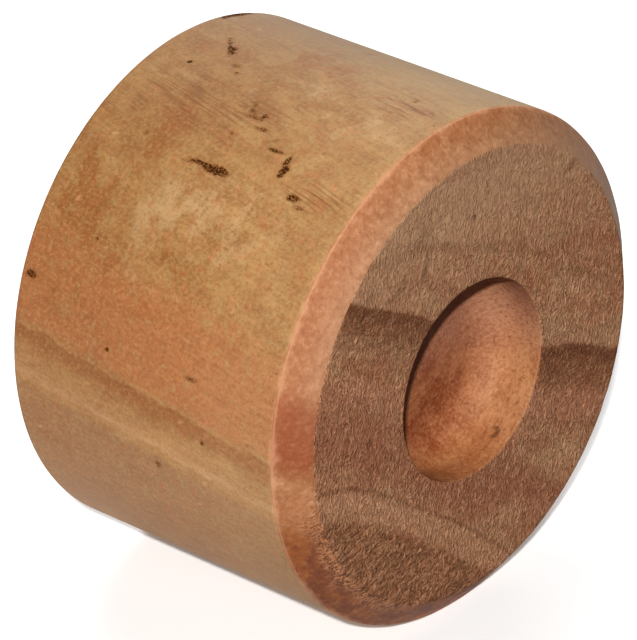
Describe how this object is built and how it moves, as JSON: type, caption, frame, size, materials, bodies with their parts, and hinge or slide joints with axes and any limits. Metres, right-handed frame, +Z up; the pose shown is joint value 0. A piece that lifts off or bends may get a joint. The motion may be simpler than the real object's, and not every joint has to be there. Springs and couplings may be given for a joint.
{
  "type": "wooden mallet head",
  "caption": "Round turned hardwood mallet head, chamfered at the front edge, with a blind round socket in its front face.",
  "frame": {"origin": "under the middle of the head, on the surface that it lies on", "axes": "+Z up, Y along the turning axis and the grain, with the socket opening towards -Y; the head lies on its side"},
  "size_m": [0.102, 0.07, 0.102],
  "materials": {
    "head_wood": "bare turned hardwood, matt, smooth on the side and chamfer, rough sawn on the end grain"
  },
  "bodies": {
    "root": {"mallet_head": "head_wood"}
  },
  "joints": []
}
